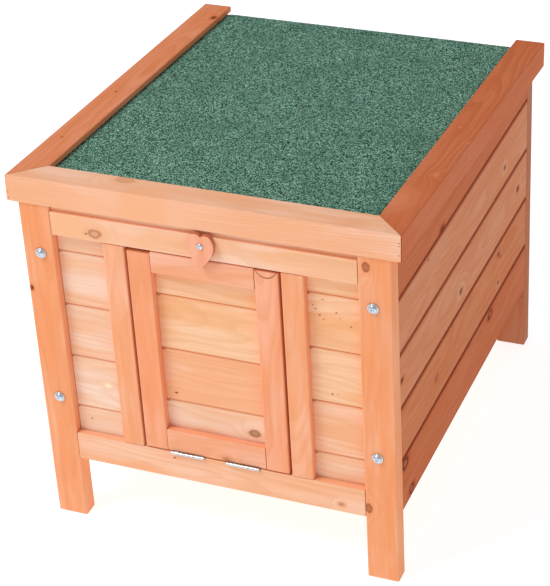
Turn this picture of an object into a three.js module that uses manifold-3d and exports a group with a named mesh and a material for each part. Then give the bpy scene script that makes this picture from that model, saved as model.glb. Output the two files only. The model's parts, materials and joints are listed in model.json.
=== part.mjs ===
// Small wooden rabbit hutch: a planked box on four corner posts, with a felted
// pent roof that lifts on hinges at the back, a ramp door that drops forward on
// hinges at its foot, and a heart-shaped turn-button that holds the door shut.
// Millimetres, +Z up, the door faces -Y, the four feet stand on z = 0.

import * as THREE from "three";
import { mergeVertices } from "three/addons/utils/BufferGeometryUtils.js";
import Module from "manifold-3d";

const wasm = await Module();
wasm.setup();

// ---------------------------------------------------------------- dimensions

const gap = 0.3; // clearance between pieces that touch
const overrun = 1; // how far a drill or a joined tongue runs past the face it meets
const cutterSize = 900; // edge of the blocks that trim pieces to a plane

const frameHalfWidth = 203.5; // outer faces of the posts
const frameDepth = 502; // front face of the front posts to back face of the back posts
const postWidth = 35;
const postDepth = 20;
const postInner = frameHalfWidth - postWidth;

const railThickness = 9.2; // rails, stiles and the door's frame
const claddingThickness = 8;
const claddingFront = railThickness + gap; // recess of the cladding behind the frame
const arris = 1.6; // rounding on the edges of the planed timber
const arrisSegments = 3;

const bottomRailLow = 79.5;
const bottomRailHigh = 114;
const topRailLow = 366;
const topRailHigh = 393.5;
const topRailRebate = { depth: 4, height: 6 }; // its back rises to close the slot under the roof
const backTopRailLow = 330;
const stileInner = 86.6;
const stileOuter = 110.8;

const doorHalfWidth = 83.6;
const doorLow = 115.9;
const doorHigh = 364.4;
const doorStileWidth = 26;
const doorBottomRailHeight = 27;
const doorTopRailHeight = 25;
const doorCladdingInset = { side: 2, end: 1 }; // from the door frame's outer edges
const doorJoints = [177.4, 243.2, 310];
const doorStopThickness = 10;
const doorStopLap = 14; // above and below the seam over the door

const plankLow = 80.6;
const plankPitch = 65.6;
const plankCount = 5;
const plankOuter = frameHalfWidth - gap;
const plankThickness = 11;
const plankChamfer = 1.4; // half of the V at each joint
const tongueThickness = 3.4;
const tongueHeight = 4;

const roofPitch = THREE.MathUtils.degToRad(2.94);
const roofFrontY = -1;
const roofFrontTop = 430.3;
const roofLength = 511;
const roofHalfWidth = 215;
const trimWidth = 34.5;
const trimHeight = 29.6;
const flangeThickness = 6.2;
const skirtThickness = 11;
const feltThickness = 2;
const deckThickness = 8;
const feltSetback = 8; // bare end of the side trims behind the felt
const feltTop = flangeThickness + gap; // depth of each layer below the trims' top face
const deckTop = feltTop + feltThickness + gap;
const deckUnderside = deckTop + deckThickness;

const cornerBatten = 20;
const floorBattenHeight = 14;
const floorThickness = 5;
const floorLow = plankLow + floorBattenHeight + gap;
const floorTop = floorLow + floorThickness;

const boltX = 183.8;
const boltHeights = [159.5, 341.9];
const boltShaftRadius = 2.8;
const boltHoleRadius = boltShaftRadius + gap;
const boltLength = 34;
const washerRadius = 6;
const washerThickness = 1.1;
const boltHeadRadius = 4.9;
const boltHeadHeight = 3;

const heartX = 3.5;
const heartScrewHeight = 384.8;
const heartTilt = THREE.MathUtils.degToRad(4.5); // tip towards -X
const heartThickness = 5.6;
const heartHalfWidth = 14.5;
const heartShoulder = 2.6; // heights above the screw
const heartNotch = 10.4;
const heartLobe = { x: 6.6, height: 13.1 };
const heartTip = -27.6;
const heartCurveSegments = 8;
const heartScrewRadius = 1.8;
const heartScrewHeadRadius = 3.4;
const heartScrewHeadHeight = 1.9;
const heartScrewLength = 13;

const doorHingeCentres = [-33.5, 31];
const doorHinge = { length: 38, radius: 1.75, pin: 0.6, plate: 0.5, depth: 8.8 };
const doorHingeY = -doorHinge.radius - gap;
const doorHingeZ = (bottomRailHigh + doorLow) / 2;

const lidHingeCentres = [-120, 120];
const lidHinge = { length: 48, radius: 2.5, pin: 1, plate: 1, depth: 17.5 };
const lidBattenLow = topRailLow + gap;
const lidHingeY = frameDepth + gap + lidHinge.radius;
const lidHingeZ = (topRailLow + lidBattenLow) / 2;

const roundSegments = 24;
const boltHeadCurve = 5; // rings in each domed head
const screwHeadCurve = 4;

// The posts' front face is at y = 0 while building; this centres the whole depth.
const frontmost = -(2 * gap + heartThickness + heartScrewHeadHeight);
const backmost = roofFrontY + roofLength * Math.cos(roofPitch);
const centreShift = -(frontmost + backmost) / 2;

// ----------------------------------------------------------------- materials

const pine = { color: 0xe8a679, roughness: 0.68, metalness: 0 };
const paleBoard = { color: 0xf0bd96, roughness: 0.72, metalness: 0 };
const innerBoard = { color: 0xd9a67c, roughness: 0.75, metalness: 0 };
const greenFelt = { color: 0x3f7a5c, roughness: 0.95, metalness: 0 };
const zinc = { color: 0xc4cbd1, roughness: 0.35, metalness: 1 };
const steel = { color: 0xd2d4d6, roughness: 0.3, metalness: 1 };

// ------------------------------------------------------------------- helpers

const hutch = new THREE.Group();
const roof = new THREE.Group();
hutch.position.y = centreShift;
roof.rotation.x = -roofPitch;
roof.position.set(0, roofFrontY, roofFrontTop);
hutch.add(roof);

function add(name, geometry, material, group = hutch) {
  geometry.computeVertexNormals();
  const mesh = new THREE.Mesh(geometry, new THREE.MeshStandardMaterial(material));
  mesh.name = name;
  group.add(mesh);
}

function toSolid(geometry) {
  const bare = geometry.clone();
  bare.deleteAttribute("normal");
  bare.deleteAttribute("uv");
  const merged = mergeVertices(bare, 1e-5);
  return new wasm.Manifold(
    new wasm.Mesh({
      numProp: 3,
      vertProperties: new Float32Array(merged.attributes.position.array),
      triVerts: new Uint32Array(merged.index.array),
    }),
  );
}

function toGeometry(solid) {
  const mesh = solid.getMesh();
  const geometry = new THREE.BufferGeometry();
  geometry.setAttribute("position", new THREE.BufferAttribute(mesh.vertProperties, 3));
  geometry.setIndex(new THREE.BufferAttribute(mesh.triVerts, 1));
  return geometry;
}

function cut(geometry, ...tools) {
  let solid = toSolid(geometry);
  for (const tool of tools) solid = solid.subtract(toSolid(tool));
  return toGeometry(solid);
}

function join(geometry, ...others) {
  let solid = toSolid(geometry);
  for (const other of others) solid = solid.add(toSolid(other));
  return toGeometry(solid);
}

// Closed outline through the corners, each one rounded by its radius.
function roundedOutline(corners, radii) {
  const points = corners.map(([x, y]) => new THREE.Vector2(x, y));
  const outline = new THREE.Shape();
  points.forEach((corner, i) => {
    const before = points[(i + points.length - 1) % points.length];
    const after = points[(i + 1) % points.length];
    const radius = Array.isArray(radii) ? radii[i] : radii;
    const start = corner.clone().add(before.clone().sub(corner).setLength(radius));
    const end = corner.clone().add(after.clone().sub(corner).setLength(radius));
    if (i === 0) outline.moveTo(start.x, start.y);
    else outline.lineTo(start.x, start.y);
    if (radius > 0) outline.quadraticCurveTo(corner.x, corner.y, end.x, end.y);
  });
  outline.closePath();
  return outline;
}

function extrude(outline, depth, curveSegments = arrisSegments) {
  return new THREE.ExtrudeGeometry(outline, { depth, bevelEnabled: false, curveSegments });
}

// The outline's axes are (x, y) and it runs up from z = from.
function alongZ(outline, from, to) {
  return extrude(outline, to - from).translate(0, 0, from);
}

// The outline's axes are (y, z) and it runs from x = from.
function alongX(outline, from, to) {
  const turn = new THREE.Matrix4().makeBasis(
    new THREE.Vector3(0, 1, 0),
    new THREE.Vector3(0, 0, 1),
    new THREE.Vector3(1, 0, 0),
  );
  return extrude(outline, to - from).applyMatrix4(turn).translate(from, 0, 0);
}

// The outline's axes are (x, z) and it ends at y = to.
function alongY(outline, from, to, curveSegments = arrisSegments) {
  const turn = new THREE.Matrix4().makeBasis(
    new THREE.Vector3(1, 0, 0),
    new THREE.Vector3(0, 0, 1),
    new THREE.Vector3(0, -1, 0),
  );
  return extrude(outline, to - from, curveSegments).applyMatrix4(turn).translate(0, to, 0);
}

function rectangle([left, right], [low, high]) {
  return [
    [left, low],
    [right, low],
    [right, high],
    [left, high],
  ];
}

// Planed timber: a box of the given extents with rounded arrises along its grain.
function board(x, y, z, grain, radius = arris) {
  if (grain === "x") return alongX(roundedOutline(rectangle(y, z), radius), ...x);
  if (grain === "y") return alongY(roundedOutline(rectangle(x, z), radius), ...y);
  return alongZ(roundedOutline(rectangle(x, y), radius), ...z);
}

function mirrored(pair, side) {
  return side > 0 ? pair : [-pair[1], -pair[0]];
}

function cylinderX(radius, from, to, y, z) {
  return new THREE.CylinderGeometry(radius, radius, to - from, roundSegments)
    .rotateZ(Math.PI / 2)
    .translate((from + to) / 2, y, z);
}

function cylinderY(radius, from, to, x, z) {
  return new THREE.CylinderGeometry(radius, radius, to - from, roundSegments)
    .translate(x, (from + to) / 2, z);
}

// Everything higher than this depth below the roof's top face.
function aboveRoofPlane(depth) {
  return new THREE.BoxGeometry(cutterSize, cutterSize, cutterSize)
    .translate(0, roofLength / 2, cutterSize / 2 - depth)
    .rotateX(-roofPitch)
    .translate(0, roofFrontY, roofFrontTop);
}

const sides = [
  ["left", -1],
  ["right", 1],
];

// --------------------------------------------------------------- posts, rails

function post(side, isFront) {
  const x = mirrored([postInner, frameHalfWidth], side);
  const y = isFront ? [0, postDepth] : [frameDepth - postDepth, frameDepth];
  const top = isFront ? topRailHigh + trimHeight : topRailLow;
  const holes = boltHeights.map((z) =>
    cylinderY(boltHoleRadius, y[0] - overrun, y[1] + overrun, side * boltX, z),
  );
  const timber = board(x, y, [0, top], "z");
  return isFront
    ? cut(timber, aboveRoofPlane(trimHeight + gap), ...holes)
    : cut(timber, ...holes);
}

for (const [label, side] of sides) {
  add(`post_front_${label}`, post(side, true), pine);
  add(`post_back_${label}`, post(side, false), pine);
}

const betweenPosts = [-postInner + gap, postInner - gap];
const frontLayer = [0, railThickness];
const backLayer = [frameDepth - railThickness, frameDepth];

// Section of the front's top rail, across its thickness (y) and height (z).
function topRailOutline() {
  const step = topRailRebate.depth;
  const crest = topRailHigh + topRailRebate.height;
  const corners = [
    [0, topRailLow],
    [railThickness, topRailLow],
    [railThickness, crest],
    [step, crest],
    [step, topRailHigh],
    [0, topRailHigh],
  ];
  return roundedOutline(corners, [arris, arris, 0, 0, 0, arris]);
}

const heartScrewHole = cylinderY(
  heartScrewRadius + gap,
  -overrun,
  railThickness + overrun,
  heartX,
  heartScrewHeight,
);

add(
  "rail_front_bottom",
  board(betweenPosts, frontLayer, [bottomRailLow, bottomRailHigh], "x"),
  pine,
);
add(
  "rail_front_top",
  cut(alongX(topRailOutline(), ...betweenPosts), heartScrewHole),
  pine,
);
add(
  "rail_back_bottom",
  board(betweenPosts, backLayer, [bottomRailLow, bottomRailHigh], "x"),
  pine,
);
add(
  "rail_back_top",
  board(betweenPosts, backLayer, [backTopRailLow, topRailLow], "x"),
  pine,
);

for (const [label, side] of sides) {
  const stile = board(
    mirrored([stileInner, stileOuter], side),
    frontLayer,
    [bottomRailHigh + gap, topRailLow - gap],
    "z",
  );
  add(`stile_front_${label}`, stile, pine);
}

// ------------------------------------------------------------------ cladding

// Boards glued edge to edge, with a V along each joint on both faces.
function claddingOutline(front, back, low, high, joints) {
  const frontEdge = joints.flatMap((z) => [
    [front, z - plankChamfer],
    [front + plankChamfer, z],
    [front, z + plankChamfer],
  ]);
  const backEdge = frontEdge.map(([y, z]) => [front + back - y, z]);
  return roundedOutline(
    [[front, low], [back, low], ...backEdge, [back, high], [front, high], ...frontEdge.reverse()],
    0,
  );
}

const plankJoints = [];
for (let i = 1; i < plankCount; i += 1) plankJoints.push(plankLow + i * plankPitch - gap / 2);
const frontCladding = [claddingFront, claddingFront + claddingThickness];
const backCladding = [frameDepth - frontCladding[1], frameDepth - frontCladding[0]];

for (const [label, side] of sides) {
  const outline = claddingOutline(...frontCladding, plankLow, topRailHigh - gap, plankJoints);
  const x = mirrored([stileInner + gap, postInner - gap], side);
  add(`cladding_front_${label}`, alongX(outline, ...x), paleBoard);
}
add(
  "cladding_back",
  alongX(
    claddingOutline(...backCladding, plankLow, topRailLow - gap, plankJoints),
    ...betweenPosts,
  ),
  paleBoard,
);

// --------------------------------------------------------------- side planks

// Tongue-and-groove section, drawn for the right-hand side.
function plankOutline(low, high, hasGroove, hasTongue) {
  const outer = plankOuter;
  const inner = plankOuter - plankThickness;
  const tongueOuter = outer - (plankThickness - tongueThickness) / 2;
  const tongueInner = tongueOuter - tongueThickness;
  const corners = [[inner, low]];
  if (hasGroove) {
    corners.push(
      [tongueInner - gap, low],
      [tongueInner - gap, low + tongueHeight + gap],
      [tongueOuter + gap, low + tongueHeight + gap],
      [tongueOuter + gap, low],
    );
  }
  corners.push([outer - plankChamfer, low], [outer, low + plankChamfer]);
  corners.push([outer, high - plankChamfer], [outer - plankChamfer, high]);
  if (hasTongue) {
    corners.push(
      [tongueOuter, high],
      [tongueOuter, high + tongueHeight],
      [tongueInner, high + tongueHeight],
      [tongueInner, high],
    );
  }
  corners.push([inner, high]);
  return roundedOutline(corners, 0);
}

function sidePlank(side, index) {
  const isTop = index === plankCount - 1;
  const low = plankLow + index * plankPitch;
  const high = isTop ? topRailHigh + trimHeight : low + plankPitch - gap;
  const outline = plankOutline(low, high, index > 0, !isTop);
  const y = [postDepth + gap, frameDepth - postDepth - gap];
  const right = alongY(outline, ...y);
  const plank = side > 0 ? right : turnedToLeft(right, y);
  return isTop ? cut(plank, aboveRoofPlane(deckUnderside + gap)) : plank;
}

// A half turn about the vertical through the middle of the plank's length.
function turnedToLeft(geometry, [from, to]) {
  return geometry.rotateZ(Math.PI).translate(0, from + to, 0);
}

for (const [label, side] of sides) {
  for (let index = 0; index < plankCount; index += 1) {
    add(`side_plank_${label}_${index + 1}`, sidePlank(side, index), pine);
  }
}

// --------------------------------------------------- battens, floor and bolts

const battenOuter = plankOuter - plankThickness - gap;
const battenInner = battenOuter - cornerBatten;

function insideBatten(side, isFront) {
  const near = postDepth + gap;
  const x = mirrored([battenInner, battenOuter], side);
  const y = isFront
    ? [near, near + cornerBatten]
    : [frameDepth - near - cornerBatten, frameDepth - near];
  const z = [floorTop + gap, topRailHigh + trimHeight];
  const holes = boltHeights.map((height) =>
    cylinderY(boltHoleRadius, y[0] - overrun, y[1] + overrun, side * boltX, height),
  );
  return cut(board(x, y, z, "z"), aboveRoofPlane(deckUnderside + gap), ...holes);
}

for (const [label, side] of sides) {
  add(`batten_front_${label}`, insideBatten(side, true), innerBoard);
  add(`batten_back_${label}`, insideBatten(side, false), innerBoard);
  const underFloor = board(
    mirrored([battenInner, battenOuter], side),
    [postDepth + gap, frameDepth - postDepth - gap],
    [plankLow, plankLow + floorBattenHeight],
    "y",
  );
  add(`floor_batten_${label}`, underFloor, innerBoard);
}

// The floor reaches forward between the posts, and to the bottom rail under the door.
function floorPanel() {
  const step = postDepth + gap;
  const sill = frontCladding[1] + gap;
  const back = frameDepth - sill;
  const betweenPostsHalf = postInner - gap;
  const half = [
    [stileInner, claddingFront],
    [stileInner, sill],
    [betweenPostsHalf, sill],
    [betweenPostsHalf, step],
    [battenOuter, step],
    [battenOuter, frameDepth - step],
    [betweenPostsHalf, frameDepth - step],
    [betweenPostsHalf, back],
  ];
  const otherHalf = half.map(([x, y]) => [-x, y]).reverse();
  return alongZ(roundedOutline([...half, ...otherHalf], 0), floorLow, floorTop);
}

add("floor_panel", floorPanel(), innerBoard);

// A turned profile's domed head, from its rim to its middle, facing down the axis.
function domeProfile(radius, height, base, rings) {
  const points = [];
  for (let step = 0; step < rings; step += 1) {
    const angle = (step / rings) * (Math.PI / 2);
    points.push(
      new THREE.Vector2(radius * Math.cos(angle), base - height * Math.sin(angle)),
    );
  }
  return [...points, new THREE.Vector2(0, base - height)];
}

// Head, washer and shaft in one turning; the head faces -Y.
function bolt() {
  const profile = [
    new THREE.Vector2(0, boltLength),
    new THREE.Vector2(boltShaftRadius, boltLength),
    new THREE.Vector2(boltShaftRadius, -gap),
    new THREE.Vector2(washerRadius, -gap),
    new THREE.Vector2(washerRadius, -gap - washerThickness),
    ...domeProfile(boltHeadRadius, boltHeadHeight, -gap - washerThickness, boltHeadCurve),
  ];
  return new THREE.LatheGeometry(profile.reverse(), roundSegments);
}

for (const [label, side] of sides) {
  boltHeights.forEach((z, i) => {
    const level = i === 0 ? "low" : "high";
    add(`bolt_front_${label}_${level}`, bolt().translate(side * boltX, 0, z), zinc);
    const turned = bolt().rotateZ(Math.PI).translate(side * boltX, frameDepth, z);
    add(`bolt_back_${label}_${level}`, turned, zinc);
  });
}

// ---------------------------------------------------------------------- door

const doorX = [-doorHalfWidth, doorHalfWidth];
const doorRailX = [-doorHalfWidth + doorStileWidth + gap, doorHalfWidth - doorStileWidth - gap];

for (const [label, side] of sides) {
  const x = mirrored([doorHalfWidth - doorStileWidth, doorHalfWidth], side);
  add(`door_stile_${label}`, board(x, frontLayer, [doorLow, doorHigh], "z"), pine);
}
add(
  "door_rail_bottom",
  board(doorRailX, frontLayer, [doorLow, doorLow + doorBottomRailHeight], "x"),
  pine,
);
add(
  "door_rail_top",
  board(doorRailX, frontLayer, [doorHigh - doorTopRailHeight, doorHigh], "x"),
  pine,
);
add(
  "door_cladding",
  alongX(
    claddingOutline(
      ...frontCladding,
      doorLow + doorCladdingInset.end,
      doorHigh - doorCladdingInset.end,
      doorJoints,
    ),
    doorX[0] + doorCladdingInset.side,
    doorX[1] - doorCladdingInset.side,
  ),
  paleBoard,
);

// Strip behind the opening's head, which the closed door rests against.
const stopBack = frontCladding[1] + gap + doorStopThickness;
add(
  "door_stop",
  board(
    [-stileOuter, stileOuter],
    [frontCladding[1] + gap, stopBack],
    [doorHigh - doorStopLap, topRailLow + doorStopLap],
    "x",
  ),
  innerBoard,
);

// -------------------------------------------------------------------- hinges

// One leaf of a butt hinge about an X axis through (0, 0). The plate starts
// clear of the barrel on the side given by `plate`; the knuckles it carries are
// the outer pair (with the pin) or the middle one (bored for the pin).
function hingeLeaf(size, centre, plate, tongue, isOuter) {
  const third = size.length / 3;
  const start = centre - size.length / 2;
  const end = centre + size.length / 2;
  const spans = isOuter
    ? [
        [start, start + third - gap],
        [end - third + gap, end],
      ]
    : [[start + third, end - third]];
  const leaf = board([start, end], plate.y, plate.z, "x", 0);
  const pieces = spans.flatMap(([from, to]) => [
    cylinderX(size.radius, from, to, 0, 0),
    board([from, to], tongue.y, tongue.z, "x", 0),
  ]);
  if (isOuter) {
    pieces.push(cylinderX(size.pin, start + overrun, end - overrun, 0, 0));
    return join(leaf, ...pieces);
  }
  return cut(join(leaf, ...pieces), cylinderX(size.pin + gap, start, end, 0, 0));
}

// Door hinges: both leaves lie flat in the seam under the door.
doorHingeCentres.forEach((centre, i) => {
  const label = i === 0 ? "left" : "right";
  const reach = doorHinge.radius + gap;
  for (const [owner, direction] of [["frame", -1], ["door", 1]]) {
    const near = (gap / 2) * direction;
    const far = (gap / 2 + doorHinge.plate) * direction;
    const z = direction > 0 ? [near, far] : [far, near];
    const leaf = hingeLeaf(
      doorHinge,
      centre,
      { y: [reach, reach + doorHinge.depth], z },
      { y: [doorHinge.pin + 2 * gap, reach + overrun], z },
      owner === "frame",
    );
    add(`door_hinge_${label}_${owner}`, leaf.translate(0, doorHingeY, doorHingeZ), steel);
  }
});

// Roof hinges: leaves flat on the back rail and on the roof's back batten.
lidHingeCentres.forEach((centre, i) => {
  const label = i === 0 ? "left" : "right";
  const reach = lidHinge.radius + gap;
  const y = [-lidHinge.radius, -lidHinge.radius + lidHinge.plate];
  for (const [owner, direction] of [["frame", -1], ["lid", 1]]) {
    const plateFar = (reach + lidHinge.depth) * direction;
    const tongueFar = (reach + overrun) * direction;
    const ordered = (a, b) => [Math.min(a, b), Math.max(a, b)];
    const leaf = hingeLeaf(
      lidHinge,
      centre,
      { y, z: ordered(reach * direction, plateFar) },
      { y: [-lidHinge.radius, -lidHinge.pin - 2 * gap], z: ordered(0, tongueFar) },
      owner === "frame",
    );
    add(`roof_hinge_${label}_${owner}`, leaf.translate(0, lidHingeY, lidHingeZ), steel);
  }
});

// ----------------------------------------------------- heart and its screw

// Drawn about the screw, with the lobes up and the tip down. The lobes stay
// within the screw's distance from the roof trim, so that the heart can turn.
function heartOutline() {
  const notch = new THREE.Vector2(0, heartNotch);
  const lobe = new THREE.Vector2(heartLobe.x, heartLobe.height);
  const shoulder = new THREE.Vector2(heartHalfWidth, heartShoulder);
  const tip = new THREE.Vector2(0, heartTip);
  // Where the curves head for between those points.
  const insideLobe = new THREE.Vector2(0.39 * lobe.x, 1.02 * lobe.y);
  const outsideLobe = new THREE.Vector2(0.84 * shoulder.x, 0.96 * lobe.y);
  const flank = new THREE.Vector2(1.055 * shoulder.x, 0.29 * tip.y);
  const point = new THREE.Vector2(0.655 * shoulder.x, 0.58 * tip.y);
  const right = new THREE.CurvePath();
  right.add(new THREE.QuadraticBezierCurve(notch, insideLobe, lobe));
  right.add(new THREE.QuadraticBezierCurve(lobe, outsideLobe, shoulder));
  right.add(new THREE.CubicBezierCurve(shoulder, flank, point, tip));
  const rightPoints = right.getPoints(heartCurveSegments);
  const leftPoints = rightPoints
    .slice(1, -1)
    .reverse()
    .map(({ x, y }) => new THREE.Vector2(-x, y));
  return new THREE.Shape([...rightPoints, ...leftPoints]);
}

function heart() {
  const plate = alongY(heartOutline(), -gap - heartThickness, -gap);
  const hole = cylinderY(
    heartScrewRadius + gap,
    -gap - heartThickness - overrun,
    overrun,
    0,
    0,
  );
  return cut(plate, hole).rotateY(heartTilt).translate(heartX, 0, heartScrewHeight);
}

function heartScrew() {
  const headBase = -2 * gap - heartThickness;
  const profile = [
    new THREE.Vector2(0, heartScrewLength + headBase),
    new THREE.Vector2(heartScrewRadius, heartScrewLength + headBase),
    new THREE.Vector2(heartScrewRadius, headBase),
    ...domeProfile(heartScrewHeadRadius, heartScrewHeadHeight, headBase, screwHeadCurve),
  ];
  return new THREE.LatheGeometry(profile.reverse(), roundSegments)
    .translate(heartX, 0, heartScrewHeight);
}

add("latch_heart", heart(), pine);
add("latch_screw", heartScrew(), zinc);

// ---------------------------------------------------------------------- roof

// In the roof's own group, z = 0 is the trims' top face and y runs down the
// slope from the front edge.
function sideTrim(side) {
  const outer = roofHalfWidth;
  const corners = [
    [outer - trimWidth, -flangeThickness],
    [outer - skirtThickness, -flangeThickness],
    [outer - skirtThickness, -trimHeight],
    [outer, -trimHeight],
    [outer, 0],
    [outer - trimWidth, 0],
  ];
  const outline = roundedOutline(corners, [0, 0, 0, arris, arris, arris]);
  const y = [-overrun, roofLength];
  const right = alongY(outline, ...y);
  const trim = side > 0 ? right : turnedToLeft(right, y);
  return cut(trim, mitreTool(side, true));
}

function frontTrim() {
  const corners = [
    [0, -trimHeight],
    [skirtThickness, -trimHeight],
    [skirtThickness, -flangeThickness],
    [trimWidth, -flangeThickness],
    [trimWidth, 0],
    [0, 0],
  ];
  const outline = roundedOutline(corners, [arris, 0, 0, 0, arris, arris]);
  const whole = alongX(outline, -roofHalfWidth, roofHalfWidth);
  return cut(whole, mitreTool(1, false), mitreTool(-1, false));
}

// The waste of the 45 degree mitre at a front corner: everything in front of it
// for a side trim, everything behind it for the front trim.
function mitreTool(side, isForSideTrim) {
  const direction = isForSideTrim ? -1 : 1;
  return new THREE.BoxGeometry(cutterSize, cutterSize, cutterSize)
    .translate(0, direction * (cutterSize / 2 - gap / 2), 0)
    .rotateZ((-side * Math.PI) / 4)
    .translate(side * roofHalfWidth, 0, 0);
}

for (const [label, side] of sides) add(`roof_trim_${label}`, sideTrim(side), pine, roof);
add("roof_trim_front", frontTrim(), pine, roof);

const underX = [-roofHalfWidth + skirtThickness + gap, roofHalfWidth - skirtThickness - gap];
const underY = [skirtThickness + gap, roofLength - feltSetback];
add(
  "roof_deck",
  board(underX, underY, [-deckUnderside, -deckTop], "y", 0),
  innerBoard,
  roof,
);
add(
  "roof_felt",
  board(underX, underY, [-feltTop - feltThickness, -feltTop], "y", 0),
  greenFelt,
  roof,
);

// Cross batten under the deck's back edge, which carries the hinges.
add(
  "roof_batten_back",
  cut(
    board(
      [-plankOuter, plankOuter],
      [frameDepth - postDepth, frameDepth],
      [lidBattenLow, topRailHigh],
      "x",
    ),
    aboveRoofPlane(deckUnderside + gap),
  ),
  innerBoard,
);

export default hutch;
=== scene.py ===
import json
import math
import random

import bmesh
import bpy
from mathutils import Matrix, Vector, noise

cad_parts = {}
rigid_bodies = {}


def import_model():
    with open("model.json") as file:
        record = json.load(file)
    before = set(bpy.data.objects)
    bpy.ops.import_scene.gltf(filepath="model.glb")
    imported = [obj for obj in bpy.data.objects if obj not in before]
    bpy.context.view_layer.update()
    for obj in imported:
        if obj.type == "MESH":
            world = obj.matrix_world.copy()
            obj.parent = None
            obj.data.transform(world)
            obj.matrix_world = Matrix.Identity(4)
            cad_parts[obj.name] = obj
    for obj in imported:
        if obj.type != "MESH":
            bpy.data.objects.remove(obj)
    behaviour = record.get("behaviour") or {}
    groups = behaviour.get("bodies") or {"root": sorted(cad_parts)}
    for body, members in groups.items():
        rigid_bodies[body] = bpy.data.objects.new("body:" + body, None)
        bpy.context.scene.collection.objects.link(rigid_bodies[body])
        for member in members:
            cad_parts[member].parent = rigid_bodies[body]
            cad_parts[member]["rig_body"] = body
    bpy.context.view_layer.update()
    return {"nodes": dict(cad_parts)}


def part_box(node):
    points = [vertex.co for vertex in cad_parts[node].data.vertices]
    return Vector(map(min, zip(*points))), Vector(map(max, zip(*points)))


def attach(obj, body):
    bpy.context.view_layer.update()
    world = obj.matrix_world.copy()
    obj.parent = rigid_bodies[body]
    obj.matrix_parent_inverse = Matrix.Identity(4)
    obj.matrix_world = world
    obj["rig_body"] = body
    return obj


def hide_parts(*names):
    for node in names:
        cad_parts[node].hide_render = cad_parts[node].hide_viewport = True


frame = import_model()

MM = 0.001
TO_MM = 1000.0  # materials measure in millimetres

# ------------------------------------------------------------ shared sizes

ARRIS = 1.6 * MM
GAP = 0.3 * MM

ROOF_PITCH = math.radians(2.94)
ROOF_OVERHANG = 1 * MM
ROOF_LENGTH = 511 * MM
CORNER_SETBACK = 0.15 * MM  # of the CAD's front trim from the side trims' outer faces

TRIM_WIDTH = 34.5 * MM
TRIM_HEIGHT = 29.6 * MM
FLANGE = 6.2 * MM
SKIRT = 11 * MM
FELT_THICKNESS = 2 * MM
DECK_THICKNESS = 8 * MM

# How far each layer lies below the trims' top face.
FELT_DROP = FLANGE + GAP
DECK_TOP_DROP = FELT_DROP + FELT_THICKNESS + GAP
DECK_DROP = DECK_TOP_DROP + DECK_THICKNESS + GAP

front_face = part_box("post_front_left")[0].y
back_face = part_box("post_back_left")[1].y
roof_trim_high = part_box("roof_trim_front")[1]
roof_half_width = roof_trim_high.x + CORNER_SETBACK
roof_origin = Vector((0, front_face - ROOF_OVERHANG, roof_trim_high.z))
ROOF = Matrix.Translation(roof_origin) @ Matrix.Rotation(-ROOF_PITCH, 4, "X")


def roof_plane(y, drop):
    """Height, at y, of the plane that lies this far below the roof trims' top face."""
    along = (y - roof_origin.y - drop * math.sin(ROOF_PITCH)) / math.cos(ROOF_PITCH)
    return roof_origin.z - along * math.sin(ROOF_PITCH) - drop * math.cos(ROOF_PITCH)


def up_to_roof(node, drop, start=0.0):
    """Brings the square top of a board to the plane that lies this far below the roof's top
    face. Only what is above start, as a share of the board's height, moves."""
    low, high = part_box(node)

    def bend(point):
        share = (point.z - low.z) / (high.z - low.z)
        if share > start:
            top = roof_plane(point.y, drop)
            point.z -= (high.z - top) * (share - start) / (1 - start)
        return point

    return bend


# ------------------------------------------------------------ node graphs


class Graph:
    """A material's node tree, with short calls for the nodes used here."""

    def __init__(self, name):
        self.material = bpy.data.materials.new(name)
        self.material.use_nodes = True
        self.tree = self.material.node_tree
        self.tree.nodes.clear()

    def put(self, socket, value):
        if isinstance(value, bpy.types.NodeSocket):
            self.tree.links.new(value, socket)
        elif value is not None:
            socket.default_value = value

    def node(self, kind, inputs=(), **settings):
        made = self.tree.nodes.new("ShaderNode" + kind)
        for key, value in settings.items():
            setattr(made, key, value)
        for key, value in dict(inputs).items():
            self.put(made.inputs[key], value)
        return made

    def math(self, operation, *values):
        made = self.node("Math", operation=operation)
        for index, value in enumerate(values):
            self.put(made.inputs[index], value)
        return made.outputs[0]

    def vector(self, operation, *values):
        made = self.node("VectorMath", operation=operation)
        for index, value in enumerate(values):
            self.put(made.inputs[index], value)
        return made.outputs["Value" if operation in ("LENGTH", "DOT_PRODUCT") else "Vector"]

    def span(self, value, low, high, out_low=0.0, out_high=1.0):
        """value mapped smoothly from low..high to out_low..out_high, clamped."""
        made = self.node("MapRange", interpolation_type="SMOOTHSTEP")
        for index, number in enumerate((value, low, high, out_low, out_high)):
            self.put(made.inputs[index], number)
        return made.outputs[0]

    def mix(self, factor, a, b):
        """a where factor is 0, b where it is 1. The sockets are those of a colour mix."""
        made = self.node("Mix", data_type="RGBA", clamp_factor=True)
        self.put(made.inputs[0], factor)
        self.put(made.inputs[6], a)
        self.put(made.inputs[7], b)
        return made.outputs[2]

    def mark(self, tone, colour, mask, share, factors):
        """tone with a mark over it: the colour times the factors, as strong as the share."""
        return self.mix(self.math("MULTIPLY", mask, share), tone, scaled(colour, *factors))

    def noise(self, position, scale, detail, roughness=0.5):
        made = self.node(
            "TexNoise", {"Vector": position, "Scale": scale, "Detail": detail, "Roughness": roughness}
        )
        return made.outputs[0]

    def position_mm(self):
        coordinates = self.node("TexCoord")
        return self.vector("SCALE", coordinates.outputs["Object"], None, None, TO_MM)

    def finish(self, **inputs):
        shader = self.node("BsdfPrincipled")
        for key, value in inputs.items():
            self.put(shader.inputs[key.replace("_", " ")], value)
        output = self.node("OutputMaterial")
        self.tree.links.new(shader.outputs[0], output.inputs["Surface"])
        return self.material


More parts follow.
